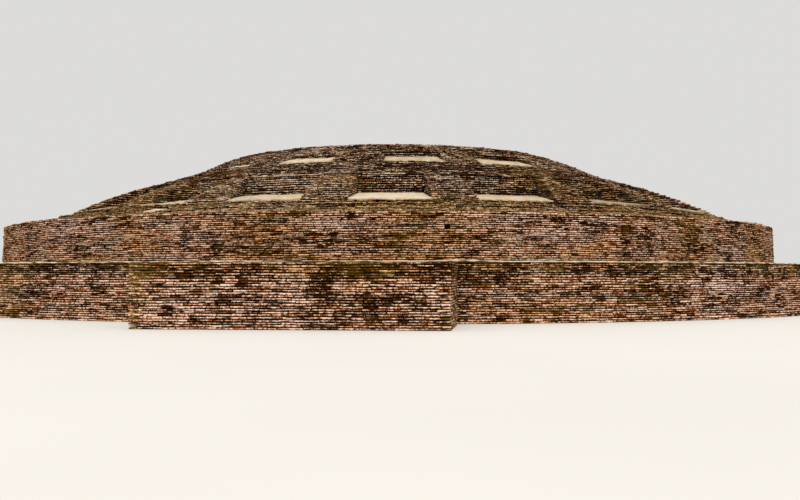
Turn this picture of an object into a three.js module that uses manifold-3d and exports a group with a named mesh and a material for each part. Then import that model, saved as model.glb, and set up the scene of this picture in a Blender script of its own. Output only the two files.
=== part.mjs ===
// A ruined brick stupa at half its real size, in millimetres, +Z up.
// The origin is on the stupa's axis, at ground level. The front platform looks along -Y.
// Angles round the stupa run from the front (-Y) towards +X, in degrees.

import * as THREE from 'three';
import { mergeVertices } from 'three/addons/utils/BufferGeometryUtils.js';
import Module from 'manifold-3d';

const wasm = await Module();
wasm.setup();

// Driving dimensions
const COURSE = 40; // one course of brick with its joint
const TERRACE_COURSES = 26;
const DRUM_COURSES = 23;
const TERRACE_RADIUS = 11500;
const TERRACE_BATTER = 30;
const DRUM_RADIUS = 10050;
const DRUM_BATTER = 30;
const CAP_THICKNESS = 20; // lime mortar laid over the ledge's edge
const CAP_WIDTH = 180;
const SEAT_GAP = 0.3; // joint left between neighbouring solids

const LEDGE_LEVEL = TERRACE_COURSES * COURSE;
const RIM_LEVEL = LEDGE_LEVEL + DRUM_COURSES * COURSE;
const CAP_INNER_RADIUS = TERRACE_RADIUS - CAP_WIDTH;

// Platforms on the four axes of the terrace
const PLATFORM_WIDTH = 4800;
const PLATFORM_COURSES = 25;
const PLATFORM_REACH = 13300; // from the stupa's axis to the platform's face
const PLATFORM_ROOT = 10900; // how far in the box starts before the terrace is cut away

// Shoulder: the worn slope between the drum's rim and the first ring of beds
const SHOULDER_RADIUS = 8730;
const SHOULDER_LEVEL = 2240;
const SHOULDER_SET_IN = 10; // how far its foot lies behind the drum's rim
const SHOULDER_MIDDLE = [
  [9600, 2005],
  [9150, 2095],
];

// The mound over the shoulder stands a little off the drum's axis; the shoulder leans over to meet it
const MOUND_SHIFT = [99, 11];

// Two rings of plaster beds, each in a pocket between radial ribs
const LOWER_RING = {
  name: 'lower_bed',
  count: 21,
  firstAngle: 5.9,
  outerRadius: 8650,
  middleRadius: 7940,
  innerRadius: 7100,
  baseLevel: SHOULDER_LEVEL,
  outerLevel: 2310,
  middleLevel: 2620,
  topLevel: 2930,
  bedFront: 8540,
  bedBack: 7150,
  bedFrontLevel: 2315,
  bedBackLevel: 2525,
  bedAngle: 11.4,
  wallHeight: 180, // the pocket's back wall, above which it steps back to the middle stage
  setbackRadius: 6960,
  lost: [],
};
const UPPER_RING = {
  name: 'upper_bed',
  count: 15,
  firstAngle: 11.2,
  outerRadius: 5725,
  middleRadius: 5250,
  innerRadius: 4760,
  baseLevel: 3290,
  outerLevel: 3350,
  middleLevel: 3560,
  topLevel: 3765,
  bedFront: 5690,
  bedBack: 4950,
  bedFrontLevel: 3355,
  bedBackLevel: 3555,
  bedAngle: 14.2,
  lost: ['upper_bed_03'], // buried under brick, so it has no pocket
};
const BED_THICKNESS = 60;
const POCKET_REACH = 250; // how far a pocket's cutter passes the ring's face
const CUTTER_OVERRUN = 40;
const CUTTER_RISE = 1000; // how far a cutter rises over the bed's surface
const SETBACK_SPREAD = 5; // the slope over the back wall is this much wider than the pocket on each side

// The beds that differ from the regular ones, as the ruin shows them
const MEASURED_BEDS = {
  lower_bed_01: { widthAngle: 11.1 },
  lower_bed_02: { angle: 24.75, widthAngle: 14.6, frontLevel: 2300, backLevel: 2510 },
  lower_bed_03: { angle: 40.5, widthAngle: 12.2, frontLevel: 2305, backLevel: 2505 },
  lower_bed_04: { angle: 59.3, widthAngle: 15 },
  lower_bed_19: { angle: -45.1 + 360, widthAngle: 13.6 },
  lower_bed_20: { angle: -28.1 + 360, widthAngle: 9.6, frontLevel: 2305, backLevel: 2495 },
  lower_bed_21: { angle: -13.15 + 360, widthAngle: 14.3 },
  upper_bed_01: { frontLevel: 3380 },
  upper_bed_02: { angle: 34.9, widthAngle: 15.6, back: 5050, backLevel: 3528 },
  upper_bed_14: { angle: -34.5 + 360, widthAngle: 7, back: 5500, frontLevel: 3370, backLevel: 3425 },
  upper_bed_15: { angle: -14.6 + 360, widthAngle: 12.9, back: 5250, frontLevel: 3385, backLevel: 3504 },
};

// One small bed that lies apart on the shoulder
const SMALL_BED = {
  angle: -26,
  front: 9130,
  back: 8840,
  frontLevel: 2100,
  backLevel: 2168,
  widthAngle: 2.3,
  thickness: 40,
};

// Profiles of the two plain stages, from the outside inwards
const MIDDLE_STAGE = [
  [6940, LOWER_RING.topLevel],
  [6720, 3030],
  [6250, 3165],
  [5860, UPPER_RING.baseLevel],
];
const CROWN = [
  [4750, UPPER_RING.topLevel],
  [4290, 3925],
  [3400, 4010],
  [2500, 4075],
  [1300, 4130],
  [0, 4150],
];

const SEGMENTS = 128;

const brick = new THREE.MeshStandardMaterial({ color: 0x8a5f4e, roughness: 0.93, metalness: 0 });
const mossyBrick = new THREE.MeshStandardMaterial({ color: 0x57493c, roughness: 0.96, metalness: 0 });
const plaster = new THREE.MeshStandardMaterial({ color: 0xd3c4a4, roughness: 0.9, metalness: 0 });

// A closed mesh with its shared vertices merged and its flat triangles dropped, as a solid.
function solidOf(geometry) {
  const bare = geometry.clone();
  bare.deleteAttribute('normal');
  bare.deleteAttribute('uv');
  const merged = mergeVertices(bare, 1e-3);
  const index = merged.index.array;
  const kept = [];
  for (let i = 0; i < index.length; i += 3) {
    const [a, b, c] = [index[i], index[i + 1], index[i + 2]];
    if (a !== b && b !== c && c !== a) kept.push(a, b, c);
  }
  return new wasm.Manifold(new wasm.Mesh({
    numProp: 3,
    vertProperties: new Float32Array(merged.attributes.position.array),
    triVerts: new Uint32Array(kept),
  }));
}

function geometryOf(solid) {
  const mesh = solid.getMesh();
  const geometry = new THREE.BufferGeometry();
  geometry.setAttribute('position', new THREE.BufferAttribute(new Float32Array(mesh.vertProperties), 3));
  geometry.setIndex(new THREE.BufferAttribute(new Uint32Array(mesh.triVerts), 1));
  geometry.computeVertexNormals();
  return geometry;
}

// A solid of revolution about +Z. The profile runs from the axis, out, up, and back to the axis.
function turned(profile, segments = SEGMENTS) {
  const points = profile.map(([radius, level]) => new THREE.Vector2(radius, level));
  const geometry = new THREE.LatheGeometry(points, segments);
  geometry.rotateX(Math.PI / 2);
  return geometry;
}

// A round layer of masonry between two levels, its outside a list of [radius, level], outermost first.
function layer(bottomLevel, outline, segments = SEGMENTS) {
  const base = bottomLevel + SEAT_GAP;
  const [outerRadius, outerLevel] = outline[0];
  const rise = outerLevel > base ? [[outerRadius, base], ...outline] : [[outerRadius, base], ...outline.slice(1)];
  const profile = [[0, base], ...rise];
  const [lastRadius, lastLevel] = outline[outline.length - 1];
  if (lastRadius > 0) profile.push([0, lastLevel]);
  return turned(profile, segments);
}

function pointAt(radius, angle, level) {
  const turn = THREE.MathUtils.degToRad(angle);
  return new THREE.Vector3(radius * Math.sin(turn), -radius * Math.cos(turn), level);
}

// A wedge-shaped slab between two radii: a box whose eight corners are moved to their places.
function wedge({ angle, widthAngle, front, back, frontLevel, backLevel, depth, rise = 0, grow = 0 }) {
  const geometry = new THREE.BoxGeometry(1, 1, 1);
  const position = geometry.attributes.position;
  for (let i = 0; i < position.count; i++) {
    const atFront = position.getY(i) < 0;
    const onTop = position.getZ(i) > 0;
    const side = Math.sign(position.getX(i));
    const radius = atFront ? front : back;
    const slack = THREE.MathUtils.radToDeg(grow / radius);
    const surface = atFront ? frontLevel : backLevel;
    const level = onTop ? surface + rise : surface - depth;
    const corner = pointAt(radius, angle + side * (widthAngle / 2 + slack), level);
    position.setXYZ(i, corner.x, corner.y, corner.z);
  }
  return geometry;
}

function bedsOf(ring) {
  const beds = [];
  for (let i = 0; i < ring.count; i++) {
    const name = `${ring.name}_${String(i + 1).padStart(2, '0')}`;
    if (ring.lost.includes(name)) continue;
    beds.push({
      name,
      angle: ring.firstAngle + (i * 360) / ring.count,
      widthAngle: ring.bedAngle,
      front: ring.bedFront,
      back: ring.bedBack,
      frontLevel: ring.bedFrontLevel,
      backLevel: ring.bedBackLevel,
      depth: BED_THICKNESS,
      ...MEASURED_BEDS[name],
    });
  }
  return beds;
}

// The hollow for one bed: the bed grown by the seat gap, open above and towards the outside.
function pocketFor(bed, reach) {
  const slope = (bed.backLevel - bed.frontLevel) / (bed.front - bed.back);
  return wedge({
    ...bed,
    front: bed.front + reach,
    frontLevel: bed.frontLevel - slope * reach,
    back: bed.back - SEAT_GAP,
    backLevel: bed.backLevel + slope * SEAT_GAP,
    depth: bed.depth + SEAT_GAP,
    rise: CUTTER_RISE,
    grow: SEAT_GAP,
  });
}

// The slope over a pocket's back wall, where the masonry has stepped back. The cutter runs on past both ends.
function setbackFor(bed, ring) {
  const wallTop = bed.backLevel + ring.wallHeight;
  const slope = (ring.topLevel - wallTop) / (bed.back - ring.setbackRadius);
  return wedge({
    ...bed,
    front: bed.back + CUTTER_OVERRUN,
    back: ring.setbackRadius - CUTTER_OVERRUN,
    frontLevel: wallTop - slope * CUTTER_OVERRUN,
    backLevel: ring.topLevel + slope * CUTTER_OVERRUN,
    depth: 0,
    rise: CUTTER_RISE,
    grow: SETBACK_SPREAD,
  });
}

function cutPockets(geometry, beds, reach, ring = {}) {
  let solid = solidOf(geometry);
  for (const bed of beds) {
    solid = solid.subtract(solidOf(pocketFor(bed, reach)));
    if (ring.setbackRadius) solid = solid.subtract(solidOf(setbackFor(bed, ring)));
  }
  return geometryOf(solid);
}

function ringBody(ring) {
  const outline = [
    [ring.outerRadius, ring.outerLevel],
    [ring.middleRadius, ring.middleLevel],
    [ring.innerRadius, ring.topLevel],
  ];
  return cutPockets(layer(ring.baseLevel, outline, ring.count * 6), bedsOf(ring), POCKET_REACH, ring);
}

// The terrace that the drum stands on; its top is the ledge round the drum, with a rebate for the cap.
function terrace() {
  return turned([
    [0, 0],
    [TERRACE_RADIUS + TERRACE_BATTER, 0],
    [TERRACE_RADIUS, LEDGE_LEVEL - CAP_THICKNESS],
    [CAP_INNER_RADIUS, LEDGE_LEVEL - CAP_THICKNESS],
    [CAP_INNER_RADIUS, LEDGE_LEVEL],
    [0, LEDGE_LEVEL],
  ]);
}

// The ring of mortar on the ledge's edge.
function ledgeCap() {
  const inner = CAP_INNER_RADIUS + SEAT_GAP;
  const under = LEDGE_LEVEL - CAP_THICKNESS + SEAT_GAP;
  return turned([
    [inner, under],
    [TERRACE_RADIUS, under],
    [TERRACE_RADIUS, LEDGE_LEVEL],
    [inner, LEDGE_LEVEL],
    [inner, under],
  ]);
}

// A platform standing against the terrace, its back cut to the terrace's curve.
function platform() {
  const height = PLATFORM_COURSES * COURSE;
  const box = new THREE.BoxGeometry(PLATFORM_WIDTH, PLATFORM_REACH - PLATFORM_ROOT, height);
  box.translate(0, -(PLATFORM_REACH + PLATFORM_ROOT) / 2, height / 2);
  const round = turned([
    [0, -COURSE],
    [TERRACE_RADIUS + TERRACE_BATTER + 2 * SEAT_GAP, -COURSE],
    [TERRACE_RADIUS + TERRACE_BATTER + 2 * SEAT_GAP, 0],
    [TERRACE_RADIUS + 2 * SEAT_GAP, LEDGE_LEVEL],
    [TERRACE_RADIUS + 2 * SEAT_GAP, LEDGE_LEVEL + COURSE],
    [0, LEDGE_LEVEL + COURSE],
  ]);
  return geometryOf(solidOf(box).subtract(solidOf(round)));
}

function drum() {
  return layer(LEDGE_LEVEL, [
    [DRUM_RADIUS + DRUM_BATTER, LEDGE_LEVEL + SEAT_GAP],
    [DRUM_RADIUS, RIM_LEVEL],
  ]);
}

// How much of the mound's shift a level has: none at the drum's rim, all of it over the shoulder.
function leanShare(level) {
  return THREE.MathUtils.clamp((level - RIM_LEVEL) / (SHOULDER_LEVEL - RIM_LEVEL), 0, 1);
}

// Moves each point by its level's share of the mound's shift.
function leaning(geometry) {
  const position = geometry.attributes.position;
  for (let i = 0; i < position.count; i++) {
    const share = leanShare(position.getZ(i));
    position.setX(i, position.getX(i) + share * MOUND_SHIFT[0]);
    position.setY(i, position.getY(i) + share * MOUND_SHIFT[1]);
  }
  return geometry;
}

function shoulder() {
  const outline = [
    [DRUM_RADIUS - SHOULDER_SET_IN, RIM_LEVEL],
    ...SHOULDER_MIDDLE,
    [SHOULDER_RADIUS, SHOULDER_LEVEL],
  ];
  return leaning(cutPockets(layer(RIM_LEVEL, outline), [smallBed()], SEAT_GAP));
}

function smallBed() {
  return { ...SMALL_BED, depth: SMALL_BED.thickness };
}

const stupa = new THREE.Group();

function place(name, geometry, material, turnDegrees = 0) {
  const mesh = new THREE.Mesh(geometry, material);
  mesh.name = name;
  mesh.rotation.z = THREE.MathUtils.degToRad(turnDegrees);
  stupa.add(mesh);
}

place('lower_terrace', terrace(), brick);
place('ledge_cap', ledgeCap(), plaster);
const platformNames = ['front_platform', 'right_platform', 'rear_platform', 'left_platform'];
platformNames.forEach((name, i) => place(name, platform(), brick, i * 90));
place('drum', drum(), brick);
place('shoulder', shoulder(), mossyBrick);
place('lower_bed_ring', leaning(ringBody(LOWER_RING)), mossyBrick);
place('middle_stage', leaning(layer(LOWER_RING.topLevel, MIDDLE_STAGE)), mossyBrick);
place('upper_bed_ring', leaning(ringBody(UPPER_RING)), mossyBrick);
place('crown', leaning(layer(UPPER_RING.topLevel, CROWN)), mossyBrick);
for (const bed of [...bedsOf(LOWER_RING), ...bedsOf(UPPER_RING)]) place(bed.name, leaning(wedge(bed)), plaster);
place('small_bed', leaning(wedge(smallBed())), plaster);

export default stupa;
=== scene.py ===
"""Dresses a ruined brick stupa, a scale model at 1:2, in laid bricks, mortar, moss and lime plaster.

Angles round the stupa run from the front platform (-Y) towards +X. Lengths are in metres.
"""

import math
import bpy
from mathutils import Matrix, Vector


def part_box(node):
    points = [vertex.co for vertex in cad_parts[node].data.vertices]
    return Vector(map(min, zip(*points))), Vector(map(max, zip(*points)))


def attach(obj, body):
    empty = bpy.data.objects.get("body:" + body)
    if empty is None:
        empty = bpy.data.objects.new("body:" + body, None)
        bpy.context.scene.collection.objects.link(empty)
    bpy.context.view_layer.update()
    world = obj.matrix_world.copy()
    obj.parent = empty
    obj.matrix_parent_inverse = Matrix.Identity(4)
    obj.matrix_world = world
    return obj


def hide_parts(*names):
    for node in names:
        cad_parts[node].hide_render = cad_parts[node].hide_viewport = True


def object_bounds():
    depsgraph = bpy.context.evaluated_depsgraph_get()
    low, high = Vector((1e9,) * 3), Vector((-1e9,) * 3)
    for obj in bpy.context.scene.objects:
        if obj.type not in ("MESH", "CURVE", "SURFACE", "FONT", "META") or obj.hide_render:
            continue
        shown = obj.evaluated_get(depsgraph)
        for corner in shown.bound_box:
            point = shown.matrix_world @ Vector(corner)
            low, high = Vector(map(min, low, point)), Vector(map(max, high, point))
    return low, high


bl_info = {
    "name": "Ruined brick stupa",
    "version": (1, 0, 0),
    "blender": (4, 5, 0),
    "location": "View3D > Sidebar > Stupa",
    "description": "Lays the bricks, beds and moss of a ruined stupa round its packed solids",
    "category": "Add Mesh",
}

import bpy
import numpy as np
from bpy.props import FloatProperty, FloatVectorProperty, IntProperty, PointerProperty
from bpy.types import Operator, Panel, PropertyGroup

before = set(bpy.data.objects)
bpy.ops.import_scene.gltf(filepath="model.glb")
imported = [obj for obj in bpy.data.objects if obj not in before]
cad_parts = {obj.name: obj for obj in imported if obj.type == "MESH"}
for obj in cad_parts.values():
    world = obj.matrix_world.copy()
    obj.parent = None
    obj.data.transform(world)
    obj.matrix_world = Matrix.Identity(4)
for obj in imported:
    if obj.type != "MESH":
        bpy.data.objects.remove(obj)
cad_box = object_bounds()

# The photograph's camera, at the model's half scale
CAMERA_DISTANCE = 27.6
CAMERA_AZIMUTH = 6.5
CAMERA_HEIGHT = 0.8
CAMERA_AIM_RIGHT = 0.6
CAMERA_AIM_UP = 1.48
CAMERA_LENS = 44.24

# The mound's outline between the frame's stages
SHOULDER_MIDDLE = ((9.6, 2.005), (9.15, 2.095))
LOWER_RING_MIDDLE = (7.94, 2.62)
LOWER_RING_TOP = 7.1
MIDDLE_STAGE_CURVE = ((6.72, 3.03), (6.25, 3.165))
UPPER_RING_MIDDLE = (5.25, 3.56)
CROWN_CURVE = ((4.29, 3.925), (3.4, 4.01), (2.5, 4.075), (1.3, 4.13))

# Over a pocket's back wall the mound has stepped back
BACK_WALL = 0.18
SETBACK_RADIUS = 6.96
CAP_HEIGHT = 0.022
CAP_BLOOM = 1.3

# Bricks in front of a bed stay this far under its edge, and rows lower than this are left out
UNDER_BED_EDGE = 0.018
UNDER_ODD_EDGES = {
    "upper_bed_01": 0.005,
    "upper_bed_02": 0.005,
    "upper_bed_14": -0.01,
    "upper_bed_15": 0.0,
    "lower_bed_03": 0.045,
    "lower_bed_04": 0.065,
}
LOWEST_ROW = 0.014

# Rubble from the ribs lies over the front corners of two beds: degrees at the low and the high side
SPILLS = {"lower_bed_02": (0.0, 3.2), "lower_bed_21": (3.2, 0.0)}

# Which part of a pocket's back wall still has its cap of lime, bed by bed; after seven beds it starts again
WALL_CAPS = ((0.06, 0.73), (0.59, 0.8), None, None, None, None, (0.0, 1.0))

# How much earth has washed over the beds that differ from their ring
BED_EARTH = {
    "lower_bed_01": 0.0,
    "lower_bed_03": 0.35,
    "upper_bed_01": 0.26,
    "upper_bed_02": 0.22,
    "upper_bed_14": 0.05,
    "upper_bed_15": 0.08,
    "small_bed": 0.05,
}

# Where mortar lies heaped on the ledge, and where a putlog hole was left in the drum: degrees, metres
HEAP_ANGLE = 12.7
HEAP_SPREAD = 1.9
HEAP_HEIGHT = 0.022
HOLE_ANGLE = 12.4
HOLE_LEVEL = 1.66
HOLE_WIDTH = 0.1

# The ledge cap's section: how far out from its edge and how far over its underside, or over its top
CAP_UNDERSIDE = ((-0.17, 0.0), (0.003, 0.0))
CAP_TOP = ((0.006, -0.006), (-0.012, 0.002), (-0.1, 0.004), (-0.17, 0.0))
CAP_DIRT = (0.5, 0.5, 0.0, 0.0, 0.1, 0.2)
CAP_SEGMENTS = 1440

# Rows of brick on the ledge, and how far the platforms' flanks and tops run back into the terrace
LEDGE_ROWS = 6
FLANK_ROOT = 0.35
TOP_ROOT = 0.45

# The platforms' outer faces stay this far inside the frame's box, so that no brick stands out of it
FACE_INSET = 0.012

# Both round walls lean in by this much over their height
WALL_BATTER = 0.03

# Courses sag and rise this much along the walls, and differ in height by this share
SAG = 0.003
UNEVEN_COURSES = 0.14

# How far a brick's corners, and a brick as a whole, lie off their place
CORNER_SHAKE = 0.0018
BRICK_SHAKE = 0.002

# Worn courses of the mound wander in and out, each in its own way: the field that they follow is met on this
# radius, and a course further up meets it this many times further up
WANDER_RADIUS = 6.0
WANDER_RISE = 40.0

# How each stage of the mound is weathered: growth, tone and hue against a plain wall's, how much its bricks
# differ, how strong the painted highlight on their upper edges and the painted shade on their lower edges
# are, and the growth colour at the foot of a ring's back walls, partly moss and partly painted shade in the
# recess
STAGE_LOOKS = {
    "shoulder": {"growth_bias": -0.1, "tone_bias": -0.02, "hue_bias": 0.7, "unrest": 1.2},
    "lower_bed_ring": {"growth_bias": -0.1, "tone_bias": 0.06, "foot_moss_and_shade": 0.25},
    "middle_stage": {"growth_bias": 2.1, "tone_bias": -0.25, "unrest": 1.8, "edge_highlight_and_shade": 0.65},
    "upper_bed_ring": {"growth_bias": 1.0, "tone_bias": -0.04, "hue_bias": -0.3, "foot_moss_and_shade": -0.08},
    "crown": {"growth_bias": 0.7, "tone_bias": -0.12, "unrest": 1.2, "edge_highlight_and_shade": 0.45},
}

# The mortar core inside the mound: points and levels of its outline, and how deep it lies under beds and rim
CORE_SHOULDER = ((9.4, 1.965), (9.0, 2.06), (8.55, 2.2))
CORE_MIDDLE = ((6.8, 2.86), (6.55, 2.98), (5.65, 3.24))
CORE_CROWN = ((4.1, 3.86), (2.4, 4.02), (1.2, 4.08), (0.0, 4.1))
CORE_LOWER_BACK = 2.68
CORE_UPPER_BACK = 3.7
CORE_UNDER_BEDS = 0.07
CORE_UNDER_RIM = 0.04

# A bed's grid of points, across and deep, how far its rim is turned down, and the usual earth on the beds
BED_GRID = (33, 17)
BED_RIM = 0.045
LOWER_EARTH = 0.15
UPPER_EARTH = 0.34

# Floor and key light: metres, degrees
FLOOR_REACH = 600.0
KEY_SOFTNESS = 22
KEY_TILT = 40
KEY_TURN = 10

TURN = 2 * math.pi


def linear(hex_colour):
    """An sRGB hex colour as linear RGBA."""
    channels = np.array([int(hex_colour[i:i + 2], 16) for i in (1, 3, 5)]) / 255
    low = channels / 12.92
    high = ((channels + 0.055) / 1.055) ** 2.4
    return (*np.where(channels <= 0.04045, low, high).tolist(), 1.0)


def colour_property(name, description, hex_colour):
    return FloatVectorProperty(
        name=name, description=description, subtype="COLOR", size=4, min=0, max=1, default=linear(hex_colour))


def length_property(name, description, metres):
    return FloatProperty(name=name, description=description, default=metres, unit="LENGTH")


class StupaBrickSettings(PropertyGroup):
    """Sizes and colours of the bricks."""

    length: length_property("Stretcher", "Length of a brick laid along the wall", 0.225)
    depth: length_property("Header", "Width of a brick, its length where it is laid into the wall", 0.15)
    course: length_property("Course", "Height of a course with its joint", 0.04)
    joint: length_property("Bed joint", "Open joint between two courses", 0.012)
    cross_joint: length_property("Cross joint", "Open joint between two bricks of a course", 0.009)
    worn_edge: length_property("Worn edge", "How far the edges of a brick's face are rounded off", 0.006)
    rib_course: length_property("Rib course", "Height of a course of the mound's ribs", 0.05)
    rib_joint: length_property("Rib joint", "Open joint between two courses of the ribs", 0.017)
    seed: IntProperty(name="Seed", description="Starts the random draws", default=7)
    pale: colour_property("Pale brick", "Cleanest, lightest bricks", "#e6cab8")
    salmon: colour_property("Salmon brick", "Common pinkish brick", "#bf8664")
    brown: colour_property("Brown brick", "Common dull brick", "#7e4514")
    dark: colour_property("Dark brick", "Darkest fired brick", "#4b2508")
    crust: colour_property("Crust", "Dry black growth on the bricks", "#2e1600")
    film: colour_property("Film", "Thin brown film of old growth", "#643605")
    olive: colour_property("Olive moss", "Greener growth", "#55400d")
    olive_film: colour_property("Olive film", "Thin film of greener growth", "#654c1a")
    mortar: colour_property("Mud mortar", "Mortar deep in the joints", "#3e1c03")


class StupaBedSettings(PropertyGroup):
    """Colours and face of the plaster beds."""

    plaster: colour_property("Lime plaster", "Clean face of a bed", "#d4c5ac")
    stain: colour_property("Stain", "Earth washed over a bed", "#b3a082")
    uneven: length_property("Unevenness", "How far a bed's face waves up and down", 0.004)


class StupaStageSettings(PropertyGroup):
    """Floor and light."""

    floor: colour_property("Floor", "Pale studio floor", "#dedbd6")
    sky: colour_property("Surround", "Pale light from all round", "#edecea")
    sky_strength: FloatProperty(name="Surround strength", description="Light from all round", default=0.85)
    key_strength: FloatProperty(name="Key strength", description="Soft key light", default=2.6)


def settings_of(name):
    return getattr(bpy.context.scene, name)


# Fields and profiles

def ripple(points, wavelength, seed, waves=28):
    """A smooth random field with a spread of 1.

    It is the sum of plane waves of about one wavelength, each with its own direction and phase.
    """
    rng = np.random.default_rng(seed)
    direction = rng.normal(size=(waves, 3))
    direction /= np.linalg.norm(direction, axis=1, keepdims=True)
    number = direction * (TURN / wavelength) * rng.uniform(0.7, 1.4, (waves, 1))
    phase = rng.uniform(0, TURN, waves)
    return np.sin(points @ number.T + phase).sum(axis=1) * math.sqrt(2 / waves)


def smooth_step(value, low, high):
    t = np.clip((value - low) / (high - low), 0, 1)
    return t * t * (3 - 2 * t)


def polar(radius, angle, level):
    """Points from their radius, their angle round the stupa and their level, as an array of rows."""
    radius, angle, level = np.broadcast_arrays(radius, angle, level)
    return np.stack([radius * np.sin(angle), -radius * np.cos(angle), level], axis=-1)


def angles_of(points):
    return np.arctan2(points[:, 0], -points[:, 1])


def node_top(node):
    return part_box(node)[1][2]


def node_radius(node):
    low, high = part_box(node)
    return 0.5 * (high[0] - low[0])


LEDGE_LEVEL = node_top("lower_terrace")
RIM_LEVEL = node_top("drum")
TERRACE_RADIUS = node_radius("lower_terrace")
DRUM_RADIUS = node_radius("drum")
PLATFORM_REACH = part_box("right_platform")[1][0]
PLATFORM_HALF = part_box("front_platform")[1][0]
PLATFORM_LEVEL = node_top("front_platform")
SHOULDER_LEVEL = node_top("shoulder")
MOUND_OUTLINE = [
    (DRUM_RADIUS - WALL_BATTER, RIM_LEVEL),
    *SHOULDER_MIDDLE,
    (node_radius("lower_bed_ring") + 0.08, SHOULDER_LEVEL),
    (node_radius("lower_bed_ring"), SHOULDER_LEVEL + 0.07),
    LOWER_RING_MIDDLE,
    (LOWER_RING_TOP, node_top("lower_bed_ring")),
    *MIDDLE_STAGE_CURVE,
    (node_radius("upper_bed_ring") + 0.13, node_top("middle_stage")),
    (node_radius("upper_bed_ring"), node_top("middle_stage") + 0.06),
    UPPER_RING_MIDDLE,
    (node_radius("crown"), node_top("upper_bed_ring")),
    *CROWN_CURVE,
    (0.0, node_top("crown")),
]
MOUND_SHIFT = 0.5 * sum(np.array(corner[:2]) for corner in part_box("crown"))


def lean(levels):
    """How far the mound has shifted off the axis: not at all at the drum's rim, fully over the shoulder."""
    share = np.clip((np.asarray(levels) - RIM_LEVEL) / (SHOULDER_LEVEL - RIM_LEVEL), 0, 1)
    shift = np.zeros((len(share), 3))
    shift[:, :2] = share[:, None] * MOUND_SHIFT
    return shift


def mound_radius(level):
    """Radius of the mound's outline at a level, straight between the outline's points."""
    radii, levels = zip(*MOUND_OUTLINE)
    return np.interp(level, levels, radii)


# Bricks

class BrickPile:
    """Bricks gathered row by row: the middle of each one's outer face, two directions, its size and bloom."""

    def __init__(self, seed, header_share=0.5, broken=False, edge_highlight_and_shade=0.34, course=None, joint=None):
        brick = settings_of("stupa_bricks")
        self.rng = np.random.default_rng(seed)
        self.header_share = header_share
        self.broken = broken
        # How strongly a brick's upper edge gets a painted highlight and its lower edge painted shade.
        self.edge_highlight_and_shade = edge_highlight_and_shade
        self.course = course or brick.course
        self.joint = joint or brick.joint
        self.wander = 0.0
        self.face, self.out, self.along, self.size, self.bloom = [], [], [], [], []

    def add(self, foot, out, along, lengths, height=None, depth=None, bloom=0.0):
        """Adds a row: foot is the middle of a face's lower edge, out is where it looks, along how it runs."""
        brick = settings_of("stupa_bricks")
        count = len(foot)
        height = self.course - self.joint if height is None else height
        depth = brick.depth if depth is None else depth
        self.face.append(foot + np.array([0.0, 0.0, height / 2]))
        self.out.append(np.broadcast_to(out, (count, 3)))
        self.along.append(np.broadcast_to(along, (count, 3)))
        self.size.append(np.stack(np.broadcast_arrays(lengths - brick.cross_joint, depth, height), axis=-1))
        self.bloom.append(np.full(count, bloom))

    def gather(self):
        """All bricks as five arrays, those over the drum's rim shifted with the mound."""
        rows = (self.face, self.out, self.along, self.size, self.bloom)
        face, out, along, size, bloom = (np.concatenate(row) for row in rows)
        face = face + lean(face[:, 2])
        sag = SAG * ripple(face, 1.4, 17) * smooth_step(face[:, 2], 0.0, 0.3)
        face[:, 2] += sag
        size[:, 2] *= self.rng.uniform(0.66 if self.broken else 0.84, 1.04, len(size))
        return face, out, along, size, bloom


def courses_between(bottom, top, count, rng):
    """Level and height of each course: all of them nearly alike, some a little higher."""
    heights = 1 + UNEVEN_COURSES * rng.uniform(-1, 1, count)
    levels = bottom + np.concatenate([[0], np.cumsum(heights)]) * (top - bottom) / heights.sum()
    return list(zip(levels[:-1], np.diff(levels)))


def bond(extent, pile):
    """Splits a length into stretchers and headers, or broken bricks: their running sum, scaled to fit."""
    brick = settings_of("stupa_bricks")
    share = pile.header_share
    if pile.broken:
        count = max(1, round(extent / (0.65 * brick.depth)))
        lengths = brick.depth * pile.rng.uniform(0.25, 1.0, count)
    else:
        count = max(1, round(extent / (share * brick.depth + (1 - share) * brick.length)))
        lengths = pile.rng.choice((brick.depth, brick.length), count, p=(share, 1 - share))
        lengths = lengths * pile.rng.uniform(0.9, 1.1, count)
    edges = np.concatenate([[0], np.cumsum(lengths)])
    return edges * extent / edges[-1]


def erosion(rng, count, drift):
    """How far each brick's face stands in or out: a small drift for all, and a few are worn far back."""
    worn_back = (rng.uniform(size=count) < 0.08) * rng.uniform(1.0, 2.8, count) * drift
    return rng.normal(0, 1, count) * drift - worn_back


def lay_arc(pile, radius, start, stop, level, drift=0.0, **row):
    """A row of bricks on an arc. Each brick is straight, its face moved in or out by a random drift."""
    edges = start + bond((stop - start) * radius, pile) / radius
    middle = 0.5 * (edges[1:] + edges[:-1])
    face_radius = radius + erosion(pile.rng, len(middle), drift)
    if pile.wander:
        face_radius += pile.wander * ripple(polar(WANDER_RADIUS, middle, level * WANDER_RISE), 1.5, 61)
    out = polar(1.0, middle, 0.0)
    along = polar(1.0, middle + math.pi / 2, 0.0)
    pile.add(polar(face_radius, middle, level), out, along, np.diff(edges) * radius, **row)


def lay_ring(pile, radius, level, **row):
    start = pile.rng.uniform(0, TURN)
    lay_arc(pile, radius, start, start + TURN, level, **row)


def lay_line(pile, first, last, out, level, drift=0.0, **row):
    """A straight row of bricks between two plan points, its faces looking along out."""
    extent = np.linalg.norm(last - first)
    if extent < 0.05:
        return
    edges = bond(extent, pile)
    middle = 0.5 * (edges[1:] + edges[:-1])
    run = (last - first) / extent
    plan = first + middle[:, None] * run + erosion(pile.rng, len(middle), drift)[:, None] * out
    foot = np.column_stack([plan, np.full(len(middle), level)])
    pile.add(foot, (out[0], out[1], 0.0), (-out[1], out[0], 0.0), np.diff(edges), **row)


def brick_sections(broken, worn):
    """Rings of four points from a brick's face to its back: how far each is drawn in, and how far back it is.

    None is the whole depth. A whole brick's face is drawn in by its worn edge, and a broken one is a plain
    lump of eight points.
    """
    if broken:
        return ((0.4 * worn, 0.0), (0.0, None))
    return ((worn, 0.0), (0.0, worn), (0.0, None))


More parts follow.
